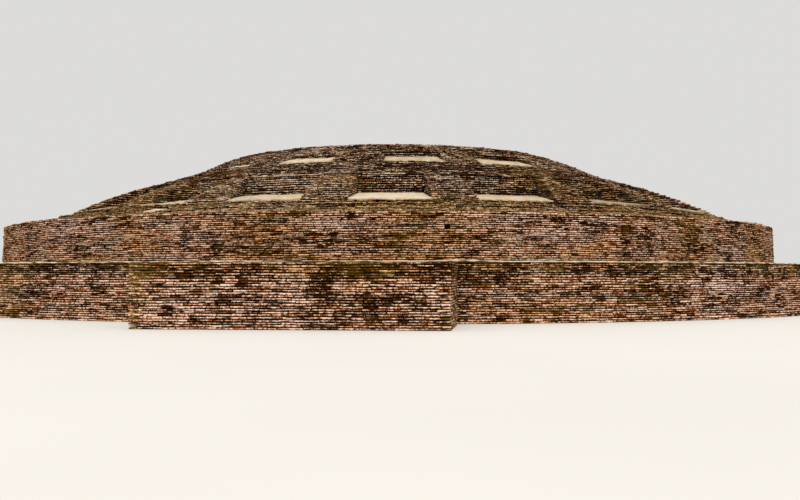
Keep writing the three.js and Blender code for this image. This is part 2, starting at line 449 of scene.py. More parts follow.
def brick_points(face, out, along, size, sections):
    """The points of each brick, four for every section: lower left and right, upper right and left."""
    up = np.cross(out, along)
    length, depth, height = size[:, 0:1], size[:, 1:2], size[:, 2:3]
    rows = []
    for inset, back in sections:
        for side, rise in ((-1, -1), (1, -1), (1, 1), (-1, 1)):
            run = side * (length / 2 - np.minimum(inset, length * 0.2)) * along
            lift = rise * (height / 2 - np.minimum(inset, height * 0.25)) * up
            sink = (depth if back is None else back) * out
            rows.append(face + run + lift - sink)
    return np.stack(rows, axis=1)


def section_faces(count):
    """Four-cornered faces of a closed brick with this number of sections."""
    faces = [[0, 1, 2, 3]]
    for section in range(1, count):
        near, far = 4 * section - 4, 4 * section
        faces += [[far + a, far + b, near + b, near + a] for a, b in ((0, 1), (1, 2), (2, 3), (3, 0))]
    last = 4 * count - 4
    return np.array([*faces, [last, last + 3, last + 2, last + 1]])


def mesh_object(name, points, faces, facts=None, smooth=False):
    """Makes an object at the origin from an array of points and one of four-cornered faces."""
    mesh = bpy.data.meshes.new(name)
    mesh.vertices.add(len(points))
    mesh.vertices.foreach_set("co", points.astype(np.float32).ravel())
    mesh.loops.add(faces.size)
    mesh.loops.foreach_set("vertex_index", faces.astype(np.int32).ravel())
    mesh.polygons.add(len(faces))
    mesh.polygons.foreach_set("loop_start", np.arange(0, faces.size, 4, dtype=np.int32))
    mesh.polygons.foreach_set("use_smooth", np.full(len(faces), smooth))
    mesh.update(calc_edges=True)
    if facts is not None:
        layer = mesh.attributes.new("facts", "FLOAT_COLOR", "POINT")
        layer.data.foreach_set("color", facts.astype(np.float32).ravel())
    piece = bpy.data.objects.new(name, mesh)
    bpy.context.scene.collection.objects.link(piece)
    return piece


# Weathering, a brick at a time

# Places seen in the photograph: angle, level, half width, half height, growth and, if it differs, tone
CLEAN_PATCHES = (
    (21.0, 1.37, 0.85, 0.13, -1.3, 0.0),
    (28.5, 1.24, 0.65, 0.15, -1.2, 0.0),
    (38.7, 1.75, 0.45, 0.13, -1.0, -0.03),
    (39.5, 1.30, 0.40, 0.17, -1.0, -0.03),
    (14.1, 1.71, 0.20, 0.08, -0.8, 0.0),
    (-6.3, 1.60, 0.60, 0.25, -0.45, 0.05),
    (-17.05, 1.66, 0.13, 0.19, -2.4, 0.35),
    (-13.2, 1.74, 0.10, 0.18, -2.4, 0.35),
    (-23.2, 1.54, 0.20, 0.10, -1.2, 0.15),
    (-33.5, 1.72, 0.35, 0.12, -0.7, 0.1),
    (-34.0, 1.15, 0.30, 0.06, -0.9, 0.1),
    (-2.7, 2.60, 0.55, 0.40, -0.9, 0.2),
)
MOSS_PATCHES = (
    (34.7, 1.58, 0.40, 0.17, 1.3),
    (33.2, 1.19, 0.09, 0.08, 1.6),
    (43.5, 1.45, 0.30, 0.30, 0.7),
    (4.2, 1.41, 0.18, 0.10, 0.9),
    (11.8, 1.33, 0.22, 0.10, 1.0),
    (20.2, 1.71, 0.15, 0.1, 1.6),
    (24.9, 1.72, 0.13, 0.12, 1.6),
    (-20.0, 1.40, 0.40, 0.15, 0.5),
)


def patch_field(face, patches, column):
    """Sum of soft-edged round patches on the wall, each with its own strength."""
    angle = angles_of(face)
    radius = np.hypot(face[:, 0], face[:, 1])
    total = np.zeros(len(face))
    for patch in patches:
        across = (angle - math.radians(patch[0])) * radius / patch[2]
        above = (face[:, 2] - patch[1]) / patch[3]
        total += patch[column] * np.exp(-((across ** 2 + above ** 2) ** 2))
    return total


def weathering(face, seed, growth_bias=0.0, tone_bias=0.0, hue_bias=0.0, unrest=1.0, rows=0.0):
    """Per brick: tone from dark to pale, growth of crust, bloom of lime, and hue from salmon to tan.

    Growth and tone are sums of smooth fields, longer along the wall than up it, and of a draw for each brick
    that unrest makes wilder. Rows makes neighbouring courses differ, over a metre or so at a time.
    """
    rng = np.random.default_rng(seed)
    streaked = face * np.array([1.0, 1.0, 4.0])
    count = len(face)
    growth = 0.25 * ripple(face, 2.2, seed + 1) + 0.4 * ripple(streaked, 1.3, seed + 2)
    growth += 0.5 * ripple(streaked, 0.5, seed + 3) + 0.5 * ripple(face, 0.5, seed + 8)
    growth += 0.55 * unrest * rng.normal(size=count) + growth_bias
    tone = 0.05 * ripple(face, 1.9, seed + 4) + 0.09 * ripple(streaked, 0.45, seed + 5)
    tone += rng.normal(0.62, 0.18 * unrest, count) + tone_bias
    if rows:
        course = rows * ripple(face * np.array([1.0, 1.0, 12.0]), 0.95, seed + 7)
        growth += course
        tone -= 0.12 * course
    hue = 0.5 + 0.3 * ripple(face, 3.0, seed + 6) + 0.2 * rng.normal(size=count) + hue_bias
    cleaned = patch_field(face, CLEAN_PATCHES, 4)
    growth += cleaned + patch_field(face, MOSS_PATCHES, 4)
    paler = patch_field(face, CLEAN_PATCHES, 5)
    tone += paler
    hue -= (0.4 * cleaned + 2.5 * paler) * (face[:, 2] < RIM_LEVEL)
    growth_share = smooth_step(growth, -2.0, 2.2)
    return np.stack([tone, growth_share, np.zeros(count), hue], axis=1)


def edge_facts(facts, count, edge_highlight_and_shade):
    """A brick's facts: a painted highlight on its upper edge, painted shade with growth on its lower edge and
    back.
    """
    spread = np.repeat(facts[:, None, :], count, axis=1)
    # Painted highlight: each section's upper corners are paler; painted shade: its lower corners take more
    # growth colour.
    for section in range(0, count - 4, 4):
        spread[:, section:section + 2, 0] -= 0.4 * edge_highlight_and_shade
        spread[:, section:section + 2, 1] += 0.9 * edge_highlight_and_shade
        spread[:, section + 2:section + 4, 0] += edge_highlight_and_shade
        spread[:, section + 2:section + 4, 1] -= 0.7 * edge_highlight_and_shade
    # Painted shade in the joints: the back points take more growth colour.
    spread[:, -4:, 1] += 0.5
    return np.clip(spread, 0, 1).reshape(-1, 4)


def file_piece(piece, material, replaces=()):
    """Gives a piece its material and its body, and hides the nodes that it stands for."""
    piece.data.materials.append(material)
    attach(piece, "root")
    if replaces:
        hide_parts(*replaces)


def brick_piece(name, pile, material, facts_of, drop=0.0, replaces=()):
    """Builds one object from a pile: a share of bricks is left out, the rest are worn and shaken a little."""
    face, out, along, size, bloom = pile.gather()
    rng = pile.rng
    facts = facts_of(face)
    facts[:, 2] = bloom * rng.uniform(0.4, 1.2, len(face))
    keep = rng.uniform(size=len(face)) >= drop
    face, out, along, size, facts = (rows[keep] for rows in (face, out, along, size, facts))
    worn = settings_of("stupa_bricks").worn_edge * rng.uniform(0.5, 2.2, (len(face), 1))
    sections = brick_sections(pile.broken, worn)
    count = 4 * len(sections)
    points = brick_points(face, out, along, size, sections)
    loose = 1.5 if pile.broken else 1.0
    points += loose * rng.normal(0, CORNER_SHAKE, points.shape)
    points += loose * rng.normal(0, BRICK_SHAKE, (len(face), 1, 3))
    points = np.clip(points, *cad_box)
    faces = section_faces(len(sections))[None] + count * np.arange(len(face))[:, None, None]
    facts = edge_facts(facts, count, pile.edge_highlight_and_shade)
    piece = mesh_object(name, points.reshape(-1, 3), faces.reshape(-1, 4), facts)
    file_piece(piece, material, replaces)


# Mortar cores and other surfaces of revolution

def revolved(profile, segments=256):
    """A closed surface of revolution: each profile point (radius, level) is carried round the axis.

    The profile starts and ends on the axis, where the ring of points has a very small radius.
    """
    radii, levels = (np.array(column, float) for column in zip(*profile))
    angle = np.arange(segments) * TURN / segments
    points = polar(np.maximum(radii, 0.002)[:, None], angle[None, :], levels[:, None])
    rows, columns = np.meshgrid(np.arange(len(profile) - 1), np.arange(segments), indexing="ij")
    following = (columns + 1) % segments
    corners = (rows * segments + columns, rows * segments + following,
               (rows + 1) * segments + following, (rows + 1) * segments + columns)
    faces = np.stack([corner.ravel() for corner in corners], axis=1)
    return points.reshape(-1, 3), faces


def core_piece(name, profile, wave=0.008):
    """The mortar behind the bricks: a surface of revolution that waves in and out a little."""
    points, faces = revolved(profile)
    radius = np.hypot(points[:, 0], points[:, 1])
    shift = wave * ripple(points, 0.6, 31)
    scale = np.where(radius > 0.1, 1 + shift / np.maximum(radius, 0.1), 1)
    points[:, :2] *= scale[:, None]
    points += lean(points[:, 2])
    file_piece(mesh_object(name, points, faces), joint_mortar())


def disc_core(name, bottom, top, low_radius, high_radius):
    """The core of a round wall: mortar between two levels, with its radius at each."""
    core_piece(name, [(0, bottom), (low_radius, bottom), (high_radius, top), (0, top)])


# Materials

def add_node(material, kind, values, stops=(), output=0):
    """Adds a node and gives one of its outputs. Values are its settings, or inputs by name or number.

    A socket among the values is linked to its input, anything else is set.
    """
    node = material.node_tree.nodes.new("ShaderNode" + kind)
    for key, value in values.items():
        if isinstance(value, bpy.types.NodeSocket):
            material.node_tree.links.new(value, node.inputs[key])
        elif isinstance(key, str) and hasattr(node, key):
            setattr(node, key, value)
        else:
            node.inputs[key].default_value = value
    if stops:
        elements = node.color_ramp.elements
        while len(elements) < len(stops):
            elements.new(1.0)
        for element, (position, colour) in zip(elements, stops):
            element.position = position
            element.color = colour
    return node.outputs[output] if node.outputs else node


def new_material(name):
    """An empty material, and the place on its surface in metres."""
    material = bpy.data.materials.new(name)
    material.use_nodes = True
    material.node_tree.nodes.clear()
    return material, add_node(material, "TexCoord", {}, output="Object")


def point_facts(material):
    """The facts of each point: tone or earth, growth, lime bloom and hue."""
    colour = add_node(material, "Attribute", {"attribute_name": "facts"}, output="Color")
    tone, growth, bloom = add_node(material, "SeparateColor", {0: colour}).node.outputs
    return tone, growth, bloom, colour.node.outputs["Alpha"]


def finish_surface(material, colour, bump, roughness, specular):
    shader = add_node(material, "BsdfPrincipled", {
        "Roughness": roughness, "Specular IOR Level": specular, "IOR": 1.5, "Metallic": 0.0,
        "Base Color": colour, "Normal": bump})
    add_node(material, "OutputMaterial", {"Surface": shader})
    return material


# Fixed colours: how much a layer covers, then tints and stains
BLACK = (0.0, 0.0, 0.0, 1.0)
WHITE = (1.0, 1.0, 1.0, 1.0)
HALF_COVERED = linear("#b0b0b0")
LICHEN_GREY = linear("#776b5c")
BLEACHED = linear("#d2c6ae")
TAN_TINT = linear("#f5e8c4")
LIME_BLOOM = linear("#d9c4a4")
DEEP_JOINT = linear("#220f02")
WET_EARTH = linear("#5a452b")
HAIR_CRACK = linear("#8d7350")
FLOOR_CLOUD = linear("#d8d5d0")


def aged(colour, share, grey=LICHEN_GREY):
    """A colour part of the way to the grey of old lichen."""
    return tuple((1 - share) * a + share * b for a, b in zip(colour, grey))


def fired_clay(material, tone, hue, blotch, age):
    """The clay's colour: a brick's own tone, blotched by the kiln, and more or less tan."""
    brick = settings_of("stupa_bricks")
    spots = add_node(material, "Math", {"operation": "MULTIPLY_ADD", 0: blotch, 1: 4.2, 2: -2.1})
    mixed = add_node(material, "Math", {"operation": "ADD", "use_clamp": True, 0: tone, 1: spots})
    clay = add_node(material, "ValToRGB", {"Fac": mixed}, (
        (0.05, aged(brick.dark, 0.15 * age)), (0.4, aged(brick.brown, 0.4 * age)),
        (0.7, aged(brick.salmon, 0.9 * age)), (0.95, aged(brick.pale, 1.3 * age, BLEACHED))))
    return add_node(material, "Mix", {
        "data_type": "RGBA", "blend_type": "MULTIPLY", 0: hue, 6: clay, 7: TAN_TINT}, output=2)


def overgrown(material, place, growth, hue, clay, crust_share, age):
    """The clay under its growth: a thin film, and over it ragged streaks of crust 120 mm long and 40 mm tall.

    Both turn from brown to olive in patches more than half a metre wide.
    """
    brick = settings_of("stupa_bricks")
    flat = add_node(material, "Mapping", {"Scale": (1.0, 1.0, 3.0), "Vector": place})
    streaks = add_node(material, "TexNoise", {"Scale": 8.0, "Detail": 8.0, "Roughness": 0.8, "Vector": flat})
    spread = add_node(material, "Math", {
        "operation": "MULTIPLY_ADD", 0: streaks, 1: 4.8, 2: crust_share - 2.4})
    total = add_node(material, "Math", {"operation": "ADD", 0: growth, 1: spread})
    patches = add_node(material, "TexNoise", {"Scale": 1.6, "Detail": 3.0, "Vector": place})
    greener = add_node(material, "Math", {"operation": "MULTIPLY_ADD", 0: hue, 1: 0.3, 2: patches})
    green = add_node(material, "ValToRGB", {"Fac": greener}, ((0.67, BLACK), (0.85, WHITE)))
    # Where each layer starts and closes, how much it covers, and its brown and its olive
    layers = (
        (0.3, 0.58, HALF_COVERED, aged(brick.film, 0.15 * age), brick.olive_film),
        (0.56, 0.7, WHITE, aged(brick.crust, 0.08 * age), aged(brick.olive, 0.2 * age)),
    )
    covered = clay
    for bare, full, cover, brown, olive in layers:
        share = add_node(material, "ValToRGB", {"Fac": total}, ((bare, BLACK), (full, cover)))
        colour = add_node(material, "Mix", {"data_type": "RGBA", 0: green, 6: brown, 7: olive}, output=2)
        covered = add_node(material, "Mix", {"data_type": "RGBA", 0: share, 6: covered, 7: colour}, output=2)
    return covered


def hand_moulded_brick(name, crust_share=0.0, age=0.0):
    """Hand-moulded, unevenly fired clay brick: salmon to dull brown, pitted, with black crust and some moss.

    Each brick's own tone comes from its facts, so neighbours differ as they do in an old wall. The blotches
    are 40 mm wide and lie in hollows, the pits are 12 mm wide.
    """
    material, place = new_material(name)
    tone, growth, lime, hue = point_facts(material)
    blotch = add_node(material, "TexNoise", {"Scale": 25.0, "Detail": 4.0, "Roughness": 0.7, "Vector": place})
    clay = fired_clay(material, tone, hue, blotch, age)
    covered = overgrown(material, place, growth, hue, clay, crust_share, age)
    bloom = add_node(material, "Mix", {"data_type": "RGBA", 0: lime, 6: covered, 7: LIME_BLOOM}, output=2)
    pits = add_node(material, "TexNoise", {"Scale": 85.0, "Detail": 3.0, "Vector": place})
    hollows = add_node(material, "Bump", {"Strength": 0.7, "Distance": 0.01, "Height": blotch})
    bump = add_node(material, "Bump", {"Strength": 0.6, "Distance": 0.004, "Height": pits, "Normal": hollows})
    return finish_surface(material, bloom, bump, 0.95, 0.05)


def mud_mortar():
    """Mud mortar packed behind the bricks: dull, crumbly and nearly black in the joints."""
    brick = settings_of("stupa_bricks")
    material, place = new_material("mud_mortar")
    lumps = add_node(material, "TexNoise", {"Scale": 12.0, "Detail": 6.0, "Roughness": 0.7, "Vector": place})
    earth = add_node(material, "ValToRGB", {"Fac": lumps}, ((0.3, DEEP_JOINT), (0.7, brick.mortar)))
    bump = add_node(material, "Bump", {"Strength": 1.0, "Distance": 0.02, "Height": lumps})
    return finish_surface(material, earth, bump, 0.97, 0.05)


def lime_plaster():
    """Lime plaster laid by trowel: cream, faintly patchy, earth washed over it and hair cracks."""
    bed = settings_of("stupa_beds")
    material, place = new_material("trowelled_plaster")
    earth = point_facts(material)[0]
    wash = add_node(material, "TexNoise", {"Scale": 9.0, "Detail": 6.0, "Roughness": 0.7, "Vector": place})
    washed = add_node(material, "Math", {
        "operation": "MULTIPLY_ADD", "use_clamp": True, 0: earth, 1: 0.9, 2: wash})
    coat = add_node(material, "ValToRGB", {"Fac": washed}, (
        (0.42, bed.plaster), (0.72, bed.stain), (1.0, WET_EARTH)))
    bent = add_node(material, "Mix", {
        "data_type": "VECTOR", 0: 0.25, 4: place, 5: wash.node.outputs["Color"]}, output=1)
    cracks = add_node(material, "TexVoronoi", {
        "feature": "DISTANCE_TO_EDGE", "Scale": 2.4, "Vector": bent}, output="Distance")
    hair = add_node(material, "ValToRGB", {"Fac": cracks}, ((0.0, HAIR_CRACK), (0.008, WHITE)))
    cracked = add_node(material, "Mix", {
        "data_type": "RGBA", "blend_type": "MULTIPLY", 0: 0.4, 6: coat, 7: hair}, output=2)
    trowel = add_node(material, "TexNoise", {"Scale": 22.0, "Detail": 3.0, "Vector": place})
    bump = add_node(material, "Bump", {"Strength": 0.5, "Distance": 0.006, "Height": trowel})
    return finish_surface(material, cracked, bump, 0.88, 0.3)


def studio_floor():
    """Matt painted studio floor: pale, with the faint cloudiness of rolled paint."""
    material, place = new_material("painted_floor")
    cloud = add_node(material, "TexNoise", {"Scale": 0.15, "Detail": 2.0, "Vector": place})
    floor = settings_of("stupa_stage").floor
    paint = add_node(material, "ValToRGB", {"Fac": cloud}, ((0.2, FLOOR_CLOUD), (0.8, floor)))
    bump = add_node(material, "Bump", {"Strength": 0.05, "Height": cloud})
    return finish_surface(material, paint, bump, 0.8, 0.3)


def shared_material(name, make):
    return bpy.data.materials.get(name) or make()


def wall_brick():
    return shared_material("hand_moulded_brick", lambda: hand_moulded_brick("hand_moulded_brick"))


def mound_brick():
    return shared_material("crusted_brick", lambda: hand_moulded_brick("crusted_brick", 0.05, age=0.5))


def joint_mortar():
    return shared_material("mud_mortar", mud_mortar)


def bed_plaster():
    return shared_material("trowelled_plaster", lime_plaster)


# Beds and the ribs between them

def bed_plan(node):
    """A bed's sides, radii and levels, read from its solid in the frame."""
    co = np.array([vertex.co[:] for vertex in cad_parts[node].data.vertices])
    co -= lean(co[:, 2])
    radius = np.hypot(co[:, 0], co[:, 1])
    middle = math.atan2(co[:, 0].sum(), -co[:, 1].sum())
    turn = (angles_of(co) - middle + math.pi) % TURN - math.pi
    outer = radius > radius.mean()
    top = co[:, 2]
    return {
        "low": middle + turn.min(), "high": middle + turn.max(),
        "front": radius.max(), "back": radius.min(),
        "front_level": top[outer].max(), "back_level": top[~outer].max(),
        "spill": np.radians(SPILLS.get(node, (0.0, 0.0))),
        "brick_top": top[outer].max() - UNDER_ODD_EDGES.get(node, UNDER_BED_EDGE),
    }


def ring_plan(name):
    """All beds of a ring, in the order of their angles, each turned to lie past the one before."""
    nodes = sorted(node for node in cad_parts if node.startswith(name + "_bed_") and node[-1].isdigit())
    plans = [bed_plan(node) for node in nodes]
    for before, plan in zip(plans, plans[1:]):
        while plan["low"] < before["low"]:
            plan["low"] += TURN
            plan["high"] += TURN
    return nodes, plans


def side_turn(plan, side, radius):
    """Angle of a pocket's side at a radius: the bed's own, but further in where rubble lies on its front."""
    share = min(1.1, max(0.0, (radius - plan["back"]) / (plan["front"] - plan["back"])))
    spill = plan["spill"][0 if side == "low" else 1] * share
    return plan[side] + (spill if side == "low" else -spill)


def ribs_of(plans, radius):
    """The arcs of brick between neighbouring beds at a radius."""
    following = plans[1:] + [dict(plans[0], low=plans[0]["low"] + TURN)]
    pairs = zip(plans, following)
    return [(side_turn(plan, "high", radius), side_turn(after, "low", radius)) for plan, after in pairs]


def stepped_rows(bottom, top, pile):
    """Courses of the mound between two levels, each with the radii of its rows of headers, the edge first."""
    depth = settings_of("stupa_bricks").length
    for level, step in courses_between(bottom, top, round((top - bottom) / pile.course), pile.rng):
        edge = float(mound_radius(level + step / 2))
        above = float(mound_radius(level + 1.5 * step))
        rows = max(1, math.ceil((edge - above + 0.03 + 2.4 * pile.wander) / depth))
        yield level, step, [edge - row * depth for row in range(rows) if edge - row * depth > 0.12]


def lay_stage(pile, bottom, top, drift, plans=()):
    """Stepped courses of a stage, whole rings or with the pockets of the planned beds in them.

    The joints are open in a course's outer row only: the rows behind it reach into the course above.
    """
    depth = settings_of("stupa_bricks").length
    for level, step, radii in stepped_rows(bottom, top, pile):
        for row, radius in enumerate(radii):
            height = min(1.15 * step, top - level - pile.joint) if row else step - pile.joint
            if plans:
                lay_pocketed_row(pile, radius, level, top, plans, height, depth=depth, drift=drift)
            else:
                lay_ring(pile, radius, level, height=height, depth=depth, drift=drift)


def lay_pocketed_row(pile, radius, level, top, plans, height, **row):
    """A row of a ring: whole on the ribs, and in the pockets under the bed's edge or behind the back wall."""
    for start, stop in ribs_of(plans, radius):
        lay_arc(pile, radius, start, stop, level, height=height, **row)
    for plan in plans:
        room = height if radius < back_radius(plan, level, top) else plan["brick_top"] - level
        if room > LOWEST_ROW:
            start, stop = side_turn(plan, "low", radius), side_turn(plan, "high", radius)
            lay_arc(pile, radius, start, stop, level, height=min(height, room), **row)


def lay_wall_caps(pile, level, plans):
    """A thin row on the lower ring: what is left of the lime over the pockets' back walls, else brick."""
    radius = SETBACK_RADIUS + 0.02
    for index, plan in enumerate(plans):
        cap = WALL_CAPS[index % len(WALL_CAPS)] or (0.0, 0.0)
        edges = plan["low"] + np.array([0.0, *cap, 1.0]) * (plan["high"] - plan["low"])
        for bloom, first, last in zip((0.0, CAP_BLOOM, 0.0), edges[:-1], edges[1:]):
            if last - first > 0.01:
                lay_arc(pile, radius, first, last, level, height=CAP_HEIGHT, drift=0.004, bloom=bloom)
    radius = float(mound_radius(level + CAP_HEIGHT))
    for start, stop in ribs_of(plans, radius):
        lay_arc(pile, radius, start, stop, level, height=CAP_HEIGHT, drift=0.012)


def back_radius(plan, level, top):
    """Where a pocket's back stands: upright behind the bed, then sloping back to the stage above."""
    wall_top = plan["back_level"] + BACK_WALL
    if plan["back"] < SETBACK_RADIUS or level < wall_top:
        return plan["back"] - 0.01
    share = (level - wall_top) / (top - wall_top)
    return plan["back"] - 0.01 + share * (SETBACK_RADIUS - plan["back"])


def lay_pocket(pile, plan, top):
    """The two sides and the back of a bed's pocket, course by course up to the mound's outline."""
    foot = plan["back_level"] - 0.006
    course = (top - foot) / max(1, round((top - foot) / pile.course))
    height = course - pile.joint
    below = math.ceil((foot - plan["front_level"]) / course)
    slope = (plan["back_level"] - plan["front_level"]) / (plan["front"] - plan["back"])
    for level in np.arange(foot - below * course, top - 0.5 * course, course):
        outline = float(mound_radius(level + course / 2))
        inner = plan["front"] - (level + course - plan["front_level"]) / slope
        lay_pocket_sides(pile, plan, max(plan["back"] - 0.02, inner), outline - 0.06, level, height)
        if level > foot - 0.001:
            back = min(back_radius(plan, level, top), outline - 0.04)
            lay_pocket_back(pile, plan, back, level, height)


def lay_pocket_sides(pile, plan, inner, outer, level, height):
    """One course of both sides between two radii, a little outside the bed's own sides."""
    if outer - inner < 0.1:
        return
    for side, sign in (("low", 1), ("high", -1)):
        first, last = (polar(radius, side_turn(plan, side, radius), 0.0)[:2] for radius in (inner, outer))
        run = (last - first) / np.linalg.norm(last - first)
        out = sign * np.array([-run[1], run[0]])
        lay_line(pile, first - 0.012 * out, last - 0.012 * out, out, level, height=height, drift=0.004)


def lay_pocket_back(pile, plan, radius, level, height):
    """One course of the back, a straight row that reaches 0.1 m behind both sides."""
    looks = polar(1.0, 0.5 * (plan["low"] + plan["high"]), 0.0)[:2]
    left = polar(radius, plan["low"] - 0.1 / radius, 0.0)[:2]
    right = polar(radius, plan["high"] + 0.1 / radius, 0.0)[:2]
    lay_line(pile, left, right, looks, level, height=height, drift=0.006)


def dirt_facts(dirt):
    """Facts of a plaster piece, which say only how much earth lies on each point."""
    dirt = np.clip(dirt, 0, 1).ravel()
    return np.stack([dirt, dirt, dirt, np.ones(len(dirt))], axis=1)


def bed_face(plan, seed):
    """Points of a bed's face and how far each lies in from its edge.

    The face is stretched in straight lines between the plan's four corners. Two smooth fields wave it up and
    down, and it sinks a little towards its edge.
    """
    uneven = settings_of("stupa_beds").uneven
    across, deep = np.meshgrid(*(np.linspace(0, 1, count) for count in BED_GRID), indexing="ij")
    inside = np.minimum(np.minimum(across, 1 - across) * 6, np.minimum(deep, 1 - deep) * 3).ravel()
    across, deep = across.reshape(-1, 1), deep.reshape(-1, 1)
    front, back = (
        (1 - across) * polar(plan[end], plan["low"], plan[end + "_level"])
        + across * polar(plan[end], plan["high"], plan[end + "_level"]) for end in ("front", "back"))
    face = (1 - deep) * front + deep * back
    face += lean(face[:, 2])
    wave = uneven * ripple(face, 0.7, seed) + 0.5 * uneven * ripple(face, 0.2, seed + 1)
    face[:, 2] += wave + 0.002 - 0.004 * np.exp(-5 * inside)
    return face, inside


def bed_piece(node, material, seed, earth):
    """A slab of plaster over the bed's plan, its rim turned down to the pocket's floor and closed below."""
    face, inside = bed_face(bed_plan(node), seed)
    index = np.arange(len(face)).reshape(BED_GRID)
    faces = np.stack([index[:-1, :-1], index[1:, :-1], index[1:, 1:], index[:-1, 1:]], axis=-1).reshape(-1, 4)
    rim = np.concatenate([index[:, 0], index[-1, 1:], index[-2::-1, -1], index[0, -2:0:-1]])
    lower = len(face) + np.arange(len(rim))
    sides = np.stack([rim, lower, np.roll(lower, -1), np.roll(rim, -1)], axis=-1)
    points = np.concatenate([face, face[rim] - np.array([0, 0, BED_RIM])])
    dirt = 0.12 * np.exp(-14 * inside) + 0.06 * ripple(face, 0.4, seed + 2) + earth
    facts = dirt_facts(np.concatenate([dirt, np.full(len(rim), earth + 0.1)]))
    piece = mesh_object(node + "_plaster", points, np.concatenate([faces, sides]), facts, smooth=True)
    close_below(piece.data, lower)
    file_piece(piece, material, [node])


def close_below(mesh, ring):
    """Closes a slab with one face over its lower rim."""
    count = len(mesh.polygons)
    loops = len(mesh.loops)
    mesh.loops.add(len(ring))
    mesh.polygons.add(1)
    vertex = np.zeros(loops + len(ring), np.int32)
    mesh.loops.foreach_get("vertex_index", vertex)
    vertex[loops:] = ring[::-1]
    mesh.loops.foreach_set("vertex_index", vertex)
    starts = np.zeros(count + 1, np.int32)
    mesh.polygons.foreach_get("loop_start", starts)
    starts[count] = loops
    mesh.polygons.foreach_set("loop_start", starts)
    mesh.update(calc_edges=True)


# Operators, one for each piece or group of like pieces

class STUPA_OT_terrace(Operator):
    """Lays the lower terrace: its round wall and the ledge round the drum."""

    bl_idname = "stupa.terrace"
    bl_label = "Lower terrace"

    def execute(self, context):
        brick = context.scene.stupa_bricks
        edge = TERRACE_RADIUS - WALL_BATTER
        self.lay_wall(brick, edge)
        self.lay_ledge(brick, edge - 0.13)
        disc_core("terrace_core", 0.002, LEDGE_LEVEL - 0.028, edge - 0.11, edge - 0.11)
        return {"FINISHED"}

    def lay_wall(self, brick, edge):
        """Rings of brick, left out behind the platforms except for those that pass over them."""
        pile = BrickPile(brick.seed, header_share=0.4)
        courses = round(LEDGE_LEVEL / brick.course) - 1
        top = courses * brick.course
        behind = math.asin((PLATFORM_HALF - 0.2) / TERRACE_RADIUS)
        for level, step in courses_between(0, top, courses, pile.rng):
            radius = edge + WALL_BATTER * (1 - level / LEDGE_LEVEL)
            row = {"height": step - brick.joint, "drift": 0.008}
            if level + 2 * step > PLATFORM_LEVEL:
                lay_ring(pile, radius, level, **row)
                continue
            for quarter in range(4):
                start = quarter * math.pi / 2 + behind
                lay_arc(pile, radius, start, start + math.pi / 2 - 2 * behind, level, **row)
        lay_ring(pile, edge - 0.01, top, height=0.016, drift=0.004)
        brick_piece("terrace_wall", pile, wall_brick(), self.facts, replaces=["lower_terrace"])

    def lay_ledge(self, brick, outer):
        pile = BrickPile(brick.seed + 1, header_share=0.2)
        level = LEDGE_LEVEL - brick.course
        for row in range(LEDGE_ROWS):
            lay_ring(pile, outer - row * brick.length, level, depth=brick.length - 0.01, drift=0.002)
        brick_piece("terrace_ledge", pile, wall_brick(), lambda face: weathering(face, 111, 0.3, -0.15))

    def facts(self, face):
        """More growth and a duller tone under the ledge: moss and painted shade of the ledge above."""
        # Moss and painted shade: the wall's top band under the ledge is darker and duller.
        ledge_shade_and_growth = smooth_step(face[:, 2], LEDGE_LEVEL - 0.3, LEDGE_LEVEL - 0.14)
        return weathering(face, 101, growth_bias=0.1 + 1.2 * ledge_shade_and_growth, tone_bias=-0.08 * ledge_shade_and_growth,
                          hue_bias=0.45 * ledge_shade_and_growth)


class STUPA_OT_ledge_cap(Operator):
    """Spreads the lime mortar along the ledge's edge, worn in places and heaped in one."""

    bl_idname = "stupa.ledge_cap"
    bl_label = "Ledge cap"

    def execute(self, context):
        low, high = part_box("ledge_cap")
        outer = 0.5 * (high[0] - low[0])
        angle = np.arange(CAP_SEGMENTS) * TURN / CAP_SEGMENTS
        ring = polar(outer, angle, high[2])
        points = self.band(outer, low[2], high[2], angle, ring)
        index = np.arange(len(points)).reshape(CAP_SEGMENTS, -1)
        after = np.roll(index, -1, axis=0)
        faces = np.stack([index, after, np.roll(after, -1, axis=1), np.roll(index, -1, axis=1)], axis=-1)
        facts = dirt_facts(self.dirt(angle, ring))
        piece = mesh_object("ledge_cap_mortar", points, faces.reshape(-1, 4), facts, smooth=True)
        file_piece(piece, bed_plaster(), ["ledge_cap"])
        return {"FINISHED"}

    def band(self, outer, bottom, top, angle, ring):
        """The section carried round the axis: two smooth fields wear its upper points, a heap lifts them."""
        section = [(outer + out, bottom + rise) for out, rise in CAP_UNDERSIDE]
        section += [(outer + out, top + rise) for out, rise in CAP_TOP]
        radii, levels = np.array(section).T
        worn = 0.0025 * ripple(ring, 0.5, 51) + 0.0025 * ripple(ring, 0.14, 52)
        heap = HEAP_HEIGHT * np.exp(-((np.degrees(angle) - HEAP_ANGLE) / HEAP_SPREAD) ** 4)
        upper = levels > bottom + 0.005
        radii = radii + worn[:, None] * upper
        levels = levels + (worn + heap)[:, None] * upper
        return polar(radii, angle[:, None], levels).reshape(-1, 3)

    def dirt(self, angle, ring):
        """Earth on the cap: less on the left side, more on its underside and inner edge, patchy all round."""
        clean = 0.2 * smooth_step(-np.sin(angle), 0.6, 0.8)
        dirt = 0.1 - clean + 0.2 * ripple(ring, 0.2, 53) + 0.15 * ripple(ring, 2.5, 54)
        return dirt[:, None] + np.array(CAP_DIRT)


